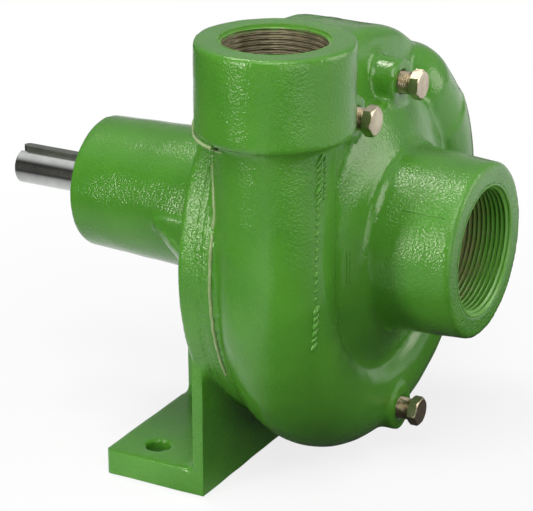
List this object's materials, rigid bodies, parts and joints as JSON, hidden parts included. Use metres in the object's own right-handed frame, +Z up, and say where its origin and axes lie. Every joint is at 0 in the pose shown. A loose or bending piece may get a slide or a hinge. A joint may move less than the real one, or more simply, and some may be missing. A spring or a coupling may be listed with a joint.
{
  "type": "centrifugal pump",
  "caption": "End-suction centrifugal pump with a volute casing, threaded ports, a keyed drive shaft in a bearing housing and a bolt-down foot.",
  "frame": {"origin": "midway between the two foot bolt holes, on the underside of the foot", "axes": "+X along the shaft to the suction port, +Z up to the discharge port, +Y completes a right-handed frame"},
  "size_m": [0.2478, 0.2091, 0.2162],
  "materials": {
    "casing_enamel": "gloss green enamel on cast iron",
    "frame_enamel": "gloss green enamel on cast iron",
    "painted_screws": "steel screws painted with the frame",
    "gasket_sheet": "matt fibre and rubber sheet",
    "bronze": "cast bronze",
    "stainless": "stainless steel",
    "key_steel": "cold-drawn key steel",
    "ground_shaft": "ground steel",
    "bearing_steel": "ground bearing steel",
    "polished_balls": "polished",
    "pressed_cage": "pressed steel",
    "spring_steel": "phosphated spring steel",
    "black_rubber": "moulded nitrile rubber",
    "seat_ceramic": "lapped ceramic",
    "carbon": "lapped carbon",
    "plated_plugs": "zinc plated with a warm passivation"
  },
  "bodies": {
    "pump_body": {"bearing_frame": "frame_enamel", "volute_casing": "casing_enamel", "casing_gasket": "gasket_sheet", "flange_screws": "painted_screws", "flange_lock_washers": "painted_screws", "wear_ring": "bronze", "rear_bearing_outer_ring": "bearing_steel", "front_bearing_outer_ring": "bearing_steel", "housing_snap_ring": "spring_steel", "drive_end_seal": "black_rubber", "pump_end_seal": "black_rubber", "seal_seat_cup": "black_rubber", "seal_seat": "seat_ceramic", "priming_plug": "plated_plugs", "vent_plug": "plated_plugs", "drain_plug": "plated_plugs"},
    "rotor": {"pump_shaft": "ground_shaft", "drive_key": "key_steel", "impeller": "bronze", "impeller_key": "key_steel", "impeller_washer": "stainless", "impeller_nut": "stainless", "rear_bearing_inner_ring": "bearing_steel", "front_bearing_inner_ring": "bearing_steel", "shaft_slinger": "black_rubber", "seal_face_ring": "carbon", "seal_bellows": "black_rubber", "seal_spring": "stainless", "seal_spring_cup": "stainless"},
    "rear_ball_set": {"rear_bearing_balls": "polished_balls", "rear_bearing_cage": "pressed_cage"},
    "front_ball_set": {"front_bearing_balls": "polished_balls", "front_bearing_cage": "pressed_cage"}
  },
  "joints": [
    {"name": "shaft_spin", "type": "hinge", "parent": "pump_body", "child": "rotor", "pos_m": [0, 0, 0.11], "axis": [1, 0, 0], "continuous": true},
    {"name": "rear_ball_spin", "type": "hinge", "parent": "pump_body", "child": "rear_ball_set", "pos_m": [-0.0513, 0, 0.11], "axis": [1, 0, 0], "continuous": true},
    {"name": "front_ball_spin", "type": "hinge", "parent": "pump_body", "child": "front_ball_set", "pos_m": [0.009, 0, 0.11], "axis": [1, 0, 0], "continuous": true}
  ],
  "couplings": [
    {"joint": "rear_ball_spin", "follows": "shaft_spin", "ratio": 0.382},
    {"joint": "front_ball_spin", "follows": "shaft_spin", "ratio": 0.382}
  ]
}
